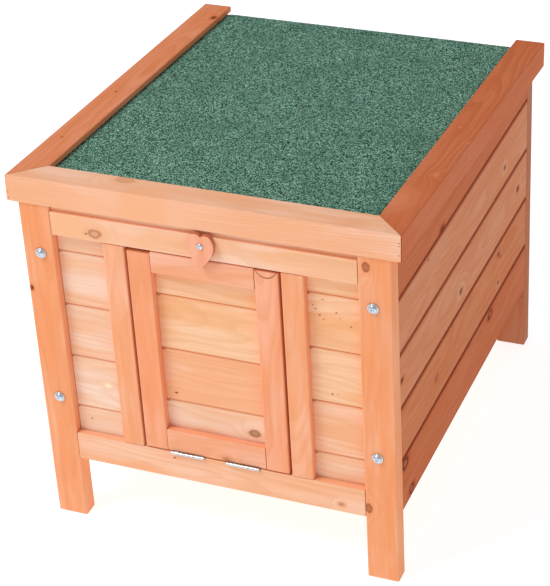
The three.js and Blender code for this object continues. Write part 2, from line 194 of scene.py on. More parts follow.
def linear(red, green, blue):
    """Linear colour from the usual 0 to 255 screen values."""

    def channel(value):
        value /= 255
        return value / 12.92 if value <= 0.04045 else ((value + 0.055) / 1.055) ** 2.4

    return (channel(red), channel(green), channel(blue), 1.0)


def scaled(colour, *factors):
    """The colour with its red, green and blue each times its factor."""
    return tuple(min(c * f, 1.0) for c, f in zip(colour, factors)) + (1.0,)


AXES = {"x": (1, 0, 0), "y": (0, 1, 0), "z": (0, 0, 1)}

# What a kind of knot does to the wood's colour: its middle, its rim and the wood round it,
# each as red, green and blue factors, with how strongly each shows.
KNOT_KINDS = {
    "ring": (((0.86, 0.78, 0.72), 0.7), ((0.5, 0.3, 0.2), 0.7), ((0.9, 0.74, 0.6), 0.6)),
    "brown": (((0.6, 0.48, 0.42), 0.8), ((0.36, 0.24, 0.17), 0.8), ((0.94, 0.78, 0.64), 0.6)),
    "dark": (((0.13, 0.12, 0.1), 0.92), ((0.42, 0.27, 0.18), 0.9), ((0.88, 0.52, 0.3), 0.8)),
    "eye": (((0.96, 0.84, 0.7), 0.85), ((0.2, 0.19, 0.14), 0.95), ((0.84, 0.46, 0.22), 0.9)),
    "swirl": (((0.86, 0.7, 0.58), 0.5), ((0.64, 0.48, 0.38), 0.5), ((0.94, 0.84, 0.74), 0.6)),
    "pale": (((0.24, 0.22, 0.2), 0.85), ((0.6, 0.55, 0.5), 0.6), ((1.1, 1.4, 1.6), 0.6)),
    "dot": (((0.16, 0.09, 0.07), 0.9), ((0.4, 0.22, 0.15), 0.7), ((0.95, 0.8, 0.7), 0.3)),
    "smudge": (((0.55, 0.4, 0.32), 0.6), ((0.6, 0.42, 0.32), 0.5), ((0.85, 0.68, 0.55), 0.6)),
    "flush": (((0.98, 0.84, 0.68), 0.7), ((0.98, 0.86, 0.74), 0.35), ((1.0, 0.93, 0.86), 0.5)),
    "sap": (((1.1, 1.35, 1.3), 0.8), ((1.05, 1.2, 1.1), 0.6), ((1.02, 1.1, 1.05), 0.4)),
    "rosy": (((1.12, 1.22, 1.35), 0.8), ((1.08, 1.15, 1.22), 0.6), ((1.04, 1.08, 1.12), 0.4)),
}


KNOT_STRETCH = 0.68  # knots are longer along the grain by the inverse of this
KNOT_WAVER = 0.6
ARC_WAVER = 0.08
KINDS_THE_RINGS_PASS_BY = ("dot", "flush", "rosy")
RING_WAVER = 30.0  # mm, the whole range over which slow noise moves the rings
RING_WIDTHS = (3.2, 4.8)
PITH_DISTANCES = (30, 62)


class Grain(Graph):
    """The node tree of one board's wood. It knows the board's size in mm, the axis that its
    grain runs along and its own chances."""

    def __init__(self, name, low, high, grain, seed):
        super().__init__(name)
        self.chance = random.Random(seed)
        self.direction = AXES[grain]
        self.size = (high - low) * TO_MM
        self.run = "xyz".index(grain)
        self.sides = [axis for axis in range(3) if axis != self.run]
        self.thin, self.wide = sorted(self.sides, key=lambda axis: self.size[axis])
        centre = (low + high) / 2 * TO_MM
        self.local = self.vector("SUBTRACT", self.position_mm(), tuple(centre))
        self.split = self.node("SeparateXYZ", {0: self.local}).outputs

    def grained(self, along, across, detail, roughness=0.5):
        """Noise with its own scale along and across the grain, and its own offset."""
        scale = [across] * 3
        scale[self.run] = along
        offset = [self.chance.uniform(-90, 90) for _ in range(3)]
        place = self.vector("ADD", self.vector("MULTIPLY", self.local, tuple(scale)), tuple(offset))
        return self.noise(place, 1.0, detail, roughness)


def knot_reach(g, along, across, radius, waver):
    """Distance in mm from a knot's middle, with a wavering edge."""
    u = g.math("SUBTRACT", g.split[g.run], (along - 0.5) * g.size[g.run])
    u = g.math("MULTIPLY", u, KNOT_STRETCH)
    v = g.math("SUBTRACT", g.split[g.wide], (across - 0.5) * g.size[g.wide])
    reach = g.math("SQRT", g.math("ADD", g.math("MULTIPLY", u, u), g.math("MULTIPLY", v, v)))
    ripple = g.math("SUBTRACT", g.grained(0.9 / radius, 0.9 / radius, 2.0), 0.5)
    return g.math("ADD", reach, g.math("MULTIPLY", ripple, radius * waver))


def growth_rings(g, bend):
    """How late in its year the wood is, 0 to 1, in rings round a pith along the grain."""
    pith = {
        g.wide: g.chance.uniform(-0.4, 0.4) * g.size[g.wide],
        g.thin: g.chance.choice((-1, 1)) * g.chance.uniform(*PITH_DISTANCES),
    }
    squares = []
    for axis in g.sides:
        lean = g.chance.uniform(-0.035, 0.035)
        part = g.math("SUBTRACT", g.split[axis], pith[axis])
        part = g.math("ADD", part, g.math("MULTIPLY", g.split[g.run], lean))
        squares.append(g.math("MULTIPLY", part, part))
    distance = g.math("ADD", g.math("SQRT", g.math("ADD", *squares)), bend)
    ring = g.math("FRACT", g.math("DIVIDE", distance, g.chance.uniform(*RING_WIDTHS)))
    return g.math("MULTIPLY", g.span(ring, 0.3, 0.9), g.span(ring, 1.0, 0.92))


def figure(g, colour, late, fibre, contrast, paleness, fineness):
    """The wood's colour with pinker and redder stretches, pale streaks, rings and fibres."""
    streak = g.grained(0.006, 0.2, 3.0, 0.6)
    thread = g.grained(0.011, 0.62, 2.0)
    pinkness = g.grained(0.008, 0.035, 2.0)
    redness = g.grained(0.005, 0.06, 3.0)
    darker = scaled(colour, 0.985, 0.87, 0.76)
    paler = scaled(colour, 1.01, 1 + 0.09 * paleness, 1 + 0.2 * paleness)
    tone = g.mix(g.span(pinkness, 0.38, 0.62), darker, paler)
    marks = (
        (g.span(redness, 0.5, 0.75), 0.6 * contrast, (0.94, 0.82, 0.68)),
        (g.span(streak, 0.5, 0.72), 0.45 * contrast * paleness, (1.02, 1.14, 1.2)),
        (late, 0.36 * contrast, (0.88, 0.74, 0.6)),
        (g.span(thread, 0.52, 0.72), 0.34 * contrast * fineness, (0.9, 0.77, 0.62)),
        (g.span(fibre, 0.46, 0.72), 0.22 * contrast * fineness, (0.84, 0.72, 0.6)),
    )
    for mask, share, factors in marks:
        tone = g.mark(tone, colour, mask, share, factors)
    return tone


def knot_marks(g, tone, colour, blemishes, cracks):
    for reach, radius, (middle, rim, halo) in blemishes:
        masks = (
            (g.span(reach, radius * 2.6, radius * 1.1), halo),
            (g.span(reach, radius * 1.4, radius), rim),
            (g.span(reach, radius * 0.8, radius * 0.45), middle),
        )
        for mask, (factors, share) in masks:
            tone = g.mark(tone, colour, mask, share, factors)
    for crack in cracks:
        tone = g.mark(tone, colour, crack, 0.8, (0.3, 0.16, 0.1))
    return tone


def edge_marks(g, tone, colour, paleness, joint, shaded_edge_axis):
    """Rubbed arrises are a little paler: partly wear, partly painted highlight. Joints and saw-cut edge faces
    carry painted shade, and end grain soaks up more colour.
    """
    edges = [g.math("SUBTRACT", g.size[axis] / 2, g.math("ABSOLUTE", g.split[axis])) for axis in g.sides]
    arris = g.span(g.math("MAXIMUM", *edges), 1.9, 0.3)
    # Paler rubbed arrises: partly wear, partly painted highlight.
    wear_and_highlight = g.math("MULTIPLY", arris, g.span(g.grained(0.05, 0.2, 2.0), 0.4, 0.65, 0.1, 0.6))
    tone = g.mark(tone, colour, wear_and_highlight, paleness, (1.03, 1.14, 1.24))
    if joint:
        # Painted shade along the V where two boards meet.
        axis, width, joint_shade = joint
        edge = edges[g.sides.index("xyz".index(axis))]
        fraying = g.math("MULTIPLY", g.grained(0.08, 0.4, 3.0), -width * 0.5)
        ragged = g.math("ADD", edge, fraying)
        tone = g.mix(g.span(ragged, -width * 0.1, width, 0.9, 0.0), tone, scaled(colour, *joint_shade))
    normal = g.node("TexCoord").outputs["Normal"]
    end = g.math("ABSOLUTE", g.vector("DOT_PRODUCT", normal, g.direction))
    tone = g.mix(g.span(end, 0.55, 0.85, 0.0, 0.75), tone, scaled(colour, 0.74, 0.58, 0.46))
    # Painted shade on the saw-cut edge faces, darker than the flat faces.
    if shaded_edge_axis:
        flat = g.math("ABSOLUTE", g.vector("DOT_PRODUCT", normal, AXES[shaded_edge_axis]))
        tone = g.mix(g.span(flat, 0.75, 0.35, 0.0, 0.85), tone, scaled(colour, 0.58, 0.4, 0.3))
    return tone


def wood(name, colour, low, high, grain, seed, knots=(), contrast=1.0, paleness=1.0, fineness=1.0,
         joint=None, shaded_edge_axis=None):
    """Planed and glazed pine. Each knot is (share of the length from the board's low end,
    share of its wide face, radius in mm, kind), and goes through the board. The kind "arc" is
    a curved crack. joint is (axis, width in mm, tone): the two edges on that axis carry painted
    shade, as in the shadow of a V where boards meet. The last argument is the axis that a
    shaped piece's flat faces look along: its saw-cut edge faces carry painted shade. contrast,
    paleness and fineness say how strong the marks as a whole, the pale streaks and the finest marks are."""
    g = Grain(name, low, high, grain, seed)
    slow = g.math("SUBTRACT", g.grained(0.0035, 0.016, 2.0), 0.5)
    bend = g.math("MULTIPLY", slow, RING_WAVER)
    blemishes = []
    cracks = []
    for along, across, radius, kind in knots:
        reach = knot_reach(g, along, across, radius, ARC_WAVER if kind == "arc" else KNOT_WAVER)
        if kind == "arc":
            cracks.append(g.span(g.math("ABSOLUTE", g.math("SUBTRACT", reach, radius)), 0.8, 0.2))
            continue
        if kind not in KINDS_THE_RINGS_PASS_BY:
            bend = g.math("ADD", bend, g.span(reach, radius, radius * 5, radius * 1.6, 0.0))
        blemishes.append((reach, radius, KNOT_KINDS[kind]))

    late = growth_rings(g, bend)
    fibre = g.grained(0.045, 1.5, 4.0, 0.62)
    tone = figure(g, colour, late, fibre, contrast, paleness, fineness)
    tone = knot_marks(g, tone, colour, blemishes, cracks)
    tone = edge_marks(g, tone, colour, paleness, joint, shaded_edge_axis)

    height = g.math("ADD", g.math("MULTIPLY", late, -0.35), g.math("MULTIPLY", fibre, 0.9))
    bump = g.node("Bump", {"Strength": 0.25, "Distance": 0.25 * MM, "Height": height})
    rough = g.span(fibre, 0.3, 0.75, 0.5, 0.7)
    return g.finish(Base_Color=tone, Roughness=rough, Normal=bump.outputs[0], Specular_IOR_Level=0.04)


# ------------------------------------------------------------------ shapes


def rounded(corners, radius, steps=4):
    """The outline through the corners, each rounded by its radius."""
    radii = radius if isinstance(radius, (list, tuple)) else [radius] * len(corners)
    points = []
    for index, corner in enumerate(corners):
        corner = Vector(corner)
        if radii[index] <= 0:
            points.append(corner)
            continue
        before = Vector(corners[index - 1])
        after = Vector(corners[(index + 1) % len(corners)])
        start = corner + (before - corner).normalized() * radii[index]
        end = corner + (after - corner).normalized() * radii[index]
        for step in range(steps + 1):
            t = step / steps
            points.append(start * (1 - t) ** 2 + corner * 2 * t * (1 - t) + end * t * t)
    return points


def rectangle(u, v):
    return [(u[0], v[0]), (u[1], v[0]), (u[1], v[1]), (u[0], v[1])]


PLACE = {
    "x": lambda t, u, v: Vector((t, u, v)),
    "y": lambda t, u, v: Vector((u, t, v)),
    "z": lambda t, u, v: Vector((u, v, t)),
}


SHARP_ANGLE = math.radians(50)
END_CHAMFER = 0.5 * MM
STATION_SPACING = 40 * MM


def finish_mesh(name, mesh, bm, material, body, nodes, matrix=None):
    """Makes the shown piece from bm, smoothly shaded. It rides the body and replaces the nodes."""
    bmesh.ops.recalc_face_normals(bm, faces=bm.faces)
    if matrix is not None:
        bmesh.ops.transform(bm, matrix=matrix, verts=bm.verts)
    bm.to_mesh(mesh)
    bm.free()
    made = bpy.data.objects.new(name, mesh)
    bpy.context.scene.collection.objects.link(made)
    mesh.materials.append(material)
    mesh.polygons.foreach_set("use_smooth", [True] * len(mesh.polygons))
    mesh.set_sharp_from_angle(angle=SHARP_ANGLE)
    weighted = made.modifiers.new("even_shading", "WEIGHTED_NORMAL")
    weighted.keep_sharp = True
    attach(made, body)
    if nodes:
        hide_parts(*nodes)
    return made


def sweep(name, outline, grain, start, end, material, body, nodes=(), bend=None):
    """A board with the outline's section, run along the grain from start to end, with
    slightly eased ends. bend moves each point, once made, to where it belongs."""
    place = PLACE[grain]
    middle = [(min(p[i] for p in outline) + max(p[i] for p in outline)) / 2 for i in (0, 1)]
    extent = [max(p[i] for p in outline) - min(p[i] for p in outline) for i in (0, 1)]
    count = max(2, round((end - start) / STATION_SPACING))
    between = end - start - 2 * END_CHAMFER
    inner = [start + END_CHAMFER + between * i / count for i in range(count + 1)]
    stations = [(start, END_CHAMFER)] + [(t, 0.0) for t in inner] + [(end, END_CHAMFER)]
    bm = bmesh.new()
    rings = []
    for t, inset in stations:
        ring = []
        for u, v in outline:
            u = middle[0] + (u - middle[0]) * (1 - 2 * inset / extent[0])
            v = middle[1] + (v - middle[1]) * (1 - 2 * inset / extent[1])
            point = place(t, u, v)
            ring.append(bm.verts.new(bend(point) if bend else point))
        rings.append(ring)
    for first, second in zip(rings, rings[1:]):
        for i in range(len(first)):
            j = (i + 1) % len(first)
            bm.faces.new((first[i], first[j], second[j], second[i]))
    bm.faces.new(rings[0])
    bm.faces.new(rings[-1])
    mesh = bpy.data.meshes.new(name)
    return finish_mesh(name, mesh, bm, material, body, nodes)


def section_axes(grain):
    return {"x": (1, 2), "y": (0, 2), "z": (0, 1)}[grain]


def board(name, low, high, grain, colour, seed, body, nodes, radius=ARRIS, bend=None, **look):
    """A plain rounded board that fills the box from low to high."""
    u, v = section_axes(grain)
    t = "xyz".index(grain)
    outline = rounded(rectangle((low[u], high[u]), (low[v], high[v])), radius)
    material = wood(name + "_wood", colour, low, high, grain, seed, **look)
    return sweep(name, outline, grain, low[t], high[t], material, body, nodes, bend)


def body_of_node(node):
    return frame["nodes"][node]["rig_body"]


def timber(node, grain, colour, seed, shortened=0.0, **extra):
    """A CAD board of the same box, remade with eased edges and its own grain. shortened is
    how much is taken off its top."""
    low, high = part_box(node)
    high = high - Vector((0, 0, shortened))
    body = body_of_node(node)
    return board(node + "_timber", low, high, grain, colour, seed, body, [node], **extra)


# ------------------------------------------------------------------ colours

POST = linear(252, 172, 126)
# The back posts' tone is darker than the front posts' by painted shade.
POST_BACK_PAINTED_SHADE = linear(190, 120, 88)
RAIL = linear(253, 202, 168)
BOTTOM_RAIL = linear(253, 194, 157)
STILE = linear(253, 180, 138)
DOOR_FRAME = linear(253, 174, 134)
DOOR_RAIL = linear(252, 184, 150)
HEART = linear(254, 181, 150)
INNER = linear(226, 180, 140)
BATTEN = linear(214, 168, 128)

SHELL = linear(253, 215, 190)
PEACH = linear(252, 206, 176)
HONEY = linear(253, 198, 154)
AMBER = linear(253, 194, 156)

# Tones of the side planks: partly the planks' own redder wood, partly painted shade.
SIDE_TAN_PAINTED_SHADE = linear(219, 146, 108)
SIDE_COPPER_PAINTED_SHADE = linear(211, 129, 84)
SIDE_RUST_PAINTED_SHADE = linear(204, 114, 69)

# ------------------------------------------------------------------ frame

POST_TOP_DROP = TRIM_HEIGHT + GAP
UNCUT_SHARE = 0.9  # of a board's height, which stays as it is where its top is cut to the roof
REBATE_DEPTH = 4 * MM
REBATE_HEIGHT = 6 * MM

# In the order of the posts' seeds.
POST_KNOTS = {
    "post_front_left": [(0.74, 0.09, 2, "dark")],
    "post_front_right": [(0.97, 0.25, 3.5, "brown"), (0.23, 0.1, 3.5, "brown")],
    "post_back_left": [(0.6, 0.6, 3, "brown")],
    "post_back_right": [(0.2, 0.8, 2, "smudge")],
}


def posts():
    for index, (node, knots) in enumerate(POST_KNOTS.items()):
        if "front" in node:
            bend = up_to_roof(node, POST_TOP_DROP, UNCUT_SHARE)
            timber(node, "z", POST, 10 + index, bend=bend, knots=knots)
        else:
            # The back posts take the tone with painted shade.
            timber(node, "z", POST_BACK_PAINTED_SHADE, 10 + index, knots=knots)


def top_rail(node, colour, seed, knots):
    """The front's top rail, whose back rises behind a rebate to close the slot under the roof."""
    low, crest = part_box(node)
    high = crest - Vector((0, 0, REBATE_HEIGHT))
    step = low.y + REBATE_DEPTH
    corners = [
        (low.y, low.z),
        (high.y, low.z),
        (high.y, crest.z),
        (step, crest.z),
        (step, high.z),
        (low.y, high.z),
    ]
    outline = rounded(corners, [ARRIS, ARRIS, ARRIS / 2, ARRIS / 2, 0, ARRIS])
    material = wood(node + "_timber_wood", colour, low, high, "x", seed, knots=knots)
    sweep(node + "_timber", outline, "x", low.x, high.x, material, body_of_node(node), [node])


posts()
top_rail("rail_front_top", RAIL, 20,
         [(0.06, 0.4, 26, "flush"), (0.15, 0.35, 4.5, "ring"), (0.12, 0.3, 0.9, "dot")])
timber("rail_front_bottom", "x", BOTTOM_RAIL, 21, knots=[(0.92, 0.3, 2, "smudge"), (0.35, 0.8, 1, "dot")])
timber("rail_back_top", "x", STILE, 22, knots=[(0.27, 0.45, 4, "brown"), (0.7, 0.8, 2.4, "ring")])
timber("rail_back_bottom", "x", STILE, 23, knots=[(0.6, 0.6, 3, "ring")])
timber("stile_front_left", "z", STILE, 24)
timber("stile_front_right", "z", STILE, 25)

# ------------------------------------------------------------------ cladding

SEAM = 0.04 * MM  # left open on each side of a joint between boards
GROOVE = 1.1 * MM
PLANK_COUNT = 5
PLANK_PITCH = 65.6
# Painted shade along each V between the front boards.
CLADDING_JOINT_SHADE = ("z", 1.8, (0.84, 0.56, 0.4))
SPOT_INSET = 0.01  # share of the board's length, from where it comes into view
# A painted dark spot: the shade in the open end of each joint, where it comes from behind the frame.
JOINT_END_SHADE_SPOT = (0.985, 1.5, "dot")  # share across, radius in mm, kind
SPECK_RADII = (0.4, 0.9)


def specks(count, seed, middle=(0.5, 0.5), spread=(0.42, 0.38)):
    """A few pin-sized dark specks, scattered over a board round the middle given."""
    chance = random.Random(seed)
    made = []
    for _ in range(count):
        along, across = (m + chance.uniform(-s, s) for m, s in zip(middle, spread))
        made.append((along, across, chance.uniform(*SPECK_RADII), "dot"))
    return made


def cladding(node, joints, colours, seed, knots, shown_from=None):
    """The boards of one clad panel, each with its own tone, a V with painted shade at each joint,
    and a small painted dark spot for the shade in the open end of each joint, where it comes out from behind
    the frame, at the x it is shown from.
    joints are heights in mm, and knots holds the knots of each board that has some."""
    low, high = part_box(node)
    levels = [low.z] + [z * MM for z in joints] + [high.z]
    hidden = 0.0 if shown_from is None else (shown_from - low.x) / (high.x - low.x)
    for index, (bottom, top) in enumerate(zip(levels, levels[1:])):
        is_top = top >= high.z
        bottom += SEAM if index else 0
        top -= 0 if is_top else SEAM
        outline = rounded(rectangle((low.y, high.y), (bottom, top)), GROOVE, 2)
        board_low = Vector((low.x, low.y, bottom))
        board_high = Vector((high.x, high.y, top))
        name = f"{node}_board_{index + 1}"
        own_knots = list(knots.get(index + 1, ()))
        if not is_top:
            # Each joint but the top one gets its painted dark spot of shade.
            own_knots.append((SPOT_INSET + hidden, *JOINT_END_SHADE_SPOT))
        material = wood(name + "_wood", colours[index], board_low, board_high, "x", seed + index,
                        knots=own_knots, joint=CLADDING_JOINT_SHADE)
        sweep(name, outline, "x", low.x, high.x, material, body_of_node(node), [node])


lowest_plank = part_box("side_plank_left_1")[0].z / MM
PLANK_JOINTS = [lowest_plank + PLANK_PITCH * i for i in range(1, PLANK_COUNT)]
DOOR_JOINTS = [177.4, 243.2, 310]
LEFT_TONES = [SHELL, SHELL, PEACH, PEACH, PEACH]
RIGHT_TONES = [PEACH, AMBER, HONEY, HONEY, HONEY]
DOOR_TONES = [PEACH, AMBER, HONEY, HONEY]
LEFT_KNOTS = {
    1: specks(1, 1),
    2: [(0.5, 0.5, 2.5, "sap"), (0.8, 0.75, 1.5, "sap")],
}
RIGHT_KNOTS = {
    3: specks(2, 2, (0.6, 0.15), (0.04, 0.03)),
    4: specks(8, 3, (0.65, 0.5), (0.3, 0.4)),
}
BACK_KNOTS = {
    2: [(0.25, 0.45, 4, "brown")],
    4: [(0.75, 0.55, 3, "ring")],
}
DOOR_KNOTS = {
    1: [(0.76, 0.6, 4, "brown")],
    2: specks(3, 4, (0.9, 0.85), (0.06, 0.1)) + [(0.95, 0.1, 1.5, "dot"), (0.22, 0.15, 1.2, "dot")],
}
cladding("cladding_front_left", PLANK_JOINTS, LEFT_TONES, 40, LEFT_KNOTS)
cladding("cladding_front_right", PLANK_JOINTS, RIGHT_TONES, 50, RIGHT_KNOTS,
         shown_from=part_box("stile_front_right")[1].x)
cladding("cladding_back", PLANK_JOINTS, RIGHT_TONES, 60, BACK_KNOTS)
cladding("door_cladding", DOOR_JOINTS, DOOR_TONES, 70, DOOR_KNOTS,
         shown_from=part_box("door_stile_left")[1].x)

# ---------------------------------------------------------------- side planks

TONGUE = 4 * MM
TONGUE_HALF = 1.7 * MM
JOINT_V = 2.6 * MM
INNER_ARRIS = 0.4 * MM
TOP_ARRIS = 0.3 * MM
# Painted shade along each V between the side planks.
SIDE_JOINT_SHADE = ("z", 4.5, (0.5, 0.2, 0.08))
# The side planks' tones hold painted shade as well as their own redder colour.
SIDE_TONES_PAINTED_SHADE = [SIDE_RUST_PAINTED_SHADE, SIDE_COPPER_PAINTED_SHADE, SIDE_TAN_PAINTED_SHADE, SIDE_TAN_PAINTED_SHADE, SIDE_RUST_PAINTED_SHADE]
SIDE_KNOTS = {
    1: [(0.68, 0.84, 5, "eye"), (0.06, 0.16, 4.5, "eye"), (0.02, 0.86, 5.5, "eye")],
    2: [(0.25, 0.45, 3.5, "ring"), (0.75, 0.22, 3, "pale"), (0.75, 0.8, 2.5, "dark"),
        (0.77, 0.68, 1.5, "dark")],
    3: [(0.44, 0.33, 5, "pale"), (0.01, 0.5, 3, "dark"), (0.92, 0.48, 3, "dark")],
    4: [(0.8, 0.35, 4, "pale"), (0.2, 0.9, 1.3, "dot")],
    5: [(0.3, 0.05, 4.5, "dark"), (0.65, 0.4, 2.5, "smudge")],
}
LEFT_SIDE_SHIFT = 3  # boards by which the left side's knots are moved on
LEFT_SIDE_SHARE = 0.95  # of the length, from the front, that they then lie within


def plank_section(outer, inner, low, top, index):
    """The outline of a side plank: half a V at each outer joint, a groove below, a tongue above."""
    is_top = index == PLANK_COUNT - 1
    inward = 1 if inner > outer else -1
    middle = (outer + inner) / 2
    corners = [(inner, low)]
    radii = [INNER_ARRIS]
    if index > 0:
        half = TONGUE_HALF + GAP
        depth = TONGUE + GAP
        for u, v in ((half, 0), (half, depth), (-half, depth), (-half, 0)):
            corners.append((middle + inward * u, low + v))
            radii.append(0)
    corners += [(outer, low), (outer, top)]
    radii += [JOINT_V, TOP_ARRIS if is_top else JOINT_V]
    if not is_top:
        for u, v in ((-TONGUE_HALF, 0), (-TONGUE_HALF, TONGUE), (TONGUE_HALF, TONGUE), (TONGUE_HALF, 0)):
            corners.append((middle + inward * u, top + v))
            radii.append(0)
    corners.append((inner, top))
    radii.append(INNER_ARRIS)
    return rounded(corners, radii, 2)


def side_knots(is_right, index):
    """The right side's knots of that board, or others of them, the other way round."""
    if is_right:
        return SIDE_KNOTS[index + 1]
    borrowed = SIDE_KNOTS[(index + LEFT_SIDE_SHIFT) % PLANK_COUNT + 1]
    return [
        (LEFT_SIDE_SHARE * (1 - along), 1 - across, radius, kind)
        for along, across, radius, kind in borrowed
    ]


def side_plank(side_name, first_seed, index):
    node = f"side_plank_{side_name}_{index + 1}"
    low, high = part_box(node)
    is_right = side_name == "right"
    is_top = index == PLANK_COUNT - 1
    outer, inner = (high.x, low.x) if is_right else (low.x, high.x)
    top = high.z if is_top else high.z - TONGUE
    # Each side plank's tone is partly painted shade.
    material = wood(node + "_wood", SIDE_TONES_PAINTED_SHADE[index], low, Vector((high.x, high.y, top)), "y",
                    first_seed + index, knots=side_knots(is_right, index), contrast=1.6, paleness=0.25,
                    fineness=0.4, joint=SIDE_JOINT_SHADE)
    sweep(node + "_timber", plank_section(outer, inner, low.z, top, index), "y", low.y, high.y,
          material, body_of_node(node), [node], bend=up_to_roof(node, DECK_DROP) if is_top else None)


for side_name, first_seed in (("left", 80), ("right", 90)):
    for index in range(PLANK_COUNT):
        side_plank(side_name, first_seed, index)

# ------------------------------------------------------------------ inside

BATTENS = ("batten_front_left", "batten_front_right", "batten_back_left", "batten_back_right")
PANEL_EASE = 0.4 * MM

for index, node in enumerate(BATTENS):
    timber(node, "z", BATTEN, 100 + index, bend=up_to_roof(node, DECK_DROP, UNCUT_SHARE))
timber("floor_batten_left", "y", BATTEN, 104)
timber("floor_batten_right", "y", BATTEN, 105)
timber("door_stop", "x", BATTEN, 106)
timber("floor_panel", "y", INNER, 107, radius=PANEL_EASE)

# -------------------------------------------------------------------- door

# The stiles end a little below the top rail, by different amounts.
timber("door_stile_left", "z", DOOR_FRAME, 110, shortened=2.2 * MM)
timber("door_stile_right", "z", DOOR_FRAME, 111, shortened=0.8 * MM, knots=[(1.06, 0.5, 15, "arc")])
timber("door_rail_bottom", "x", DOOR_RAIL, 112, knots=[(0.6, 0.1, 3, "smudge")])
timber("door_rail_top", "x", DOOR_RAIL, 113, radius=1.5 * ARRIS)

# -------------------------------------------------------------------- roof

MITRE_GAP = 0.21 * MM
MITRE_REACH = 45 * MM  # length of a trim's end that is drawn to the mitre
TRIM_RADII = [0.4 * MM, 0.2 * MM, 0.6 * MM, ARRIS, ARRIS, ARRIS]

FASCIA = linear(253, 196, 162)
TRIM_LEFT = linear(236, 150, 108)
# The right trim's tone is darker than the left trim's by painted shade.
TRIM_RIGHT_PAINTED_SHADE = linear(213, 121, 80)


def tilt(made):
    """Lays a piece made in the roof's own axes on the roof. Its texture stays in those axes."""
    made.matrix_parent_inverse = Matrix.Identity(4)
    made.matrix_world = ROOF
    return made


def trim_outline(outer, inward):
    """The L of a roof trim: a flat flange on top and a skirt down the outside."""
    corners = [
        (outer + inward * TRIM_WIDTH, -FLANGE),
        (outer + inward * SKIRT, -FLANGE),
        (outer + inward * SKIRT, -TRIM_HEIGHT),
        (outer, -TRIM_HEIGHT),
        (outer, 0),
        (outer + inward * TRIM_WIDTH, 0),
    ]
    return rounded(corners, TRIM_RADII)


def side_trim(node, side, colour, seed, contrast, knots):
    def bend(point):
        limit = roof_half_width - abs(point.x) + MITRE_GAP
        share = max(0.0, 1 - point.y / MITRE_REACH)
        point.y += limit * share
        return point

    outer = side * roof_half_width
    low = Vector((min(outer, outer - side * TRIM_WIDTH), 0, -TRIM_HEIGHT))
    high = Vector((low.x + TRIM_WIDTH, ROOF_LENGTH, 0))
    material = wood(node + "_wood", colour, low, high, "y", seed, knots=knots, contrast=contrast,
                    paleness=0.6)
    tilt(sweep(node + "_timber", trim_outline(outer, -side), "y", 0, ROOF_LENGTH, material,
               "roof_lid", [node], bend=bend))


def front_trim(node, colour, seed, knots):
    def bend(point):
        reach = abs(point.x) - (roof_half_width - MITRE_REACH)
        if reach > 0:
            pull = reach / MITRE_REACH * (point.y + MITRE_GAP)
            point.x -= math.copysign(pull, point.x)
        return point

    low = Vector((-roof_half_width, 0, -TRIM_HEIGHT))
    high = Vector((roof_half_width, TRIM_WIDTH, 0))
    material = wood(node + "_wood", colour, low, high, "x", seed, knots=knots)
    tilt(sweep(node + "_timber", trim_outline(0, 1), "x", low.x, high.x, material, "roof_lid", [node],
               bend=bend))


side_trim("roof_trim_left", -1, TRIM_LEFT, 120, 1.5,
          [(0.45, 0.45, 1.3, "dot"), (0.2, 0.4, 1.4, "smudge"), (0.92, 0.85, 3, "dark")])
# The right trim's tone holds painted shade.
side_trim("roof_trim_right", 1, TRIM_RIGHT_PAINTED_SHADE, 121, 2.2,
          [(0.14, 0.1, 18, "rosy"), (0.27, 0.7, 3, "sap"), (0.5, 0.35, 1.2, "sap"), (0.43, 0.95, 1.2, "sap")])
front_trim("roof_trim_front", FASCIA, 122, [(0.36, 0, 30, "flush"), (0.29, 0.8, 6, "swirl")])

FELT_TUCK = 5 * MM  # of the felt under the trims
FELT_SETBACK = 8 * MM
FELT_BACK = ROOF_LENGTH - FELT_SETBACK
felt_half = roof_half_width - SKIRT - GAP
felt_front = SKIRT + GAP

DECK_EASE = 0.3 * MM
deck_low = Vector((-felt_half, felt_front, -DECK_TOP_DROP - DECK_THICKNESS))
deck_high = Vector((felt_half, FELT_BACK, -DECK_TOP_DROP))
tilt(board("roof_deck_panel", deck_low, deck_high, "y", INNER, 123, "roof_lid", ["roof_deck"],
           radius=DECK_EASE))
timber("roof_batten_back", "x", STILE, 124, bend=up_to_roof("roof_batten_back", DECK_DROP))

# Tones of the felt's granules, by how light each one is.
GRANULE_TONES = [
    (0.24, linear(2, 28, 18)),
    (0.44, linear(26, 92, 66)),
    (0.6, linear(84, 150, 124)),
    (0.76, linear(180, 226, 204)),
]
FELT_FADED = linear(60, 112, 88)
# Bright felt specks: partly pale granules, partly painted glints.
FELT_PALE_AND_GLINT = linear(170, 208, 186)
FELT_DARK = linear(20, 40, 32)
FELT_STEP = 4 * MM
FELT_DIP = 0.55 * MM
FELT_ROUGHNESS = 0.3 * MM
FELT_TUCK_DEPTH = 0.9 * MM


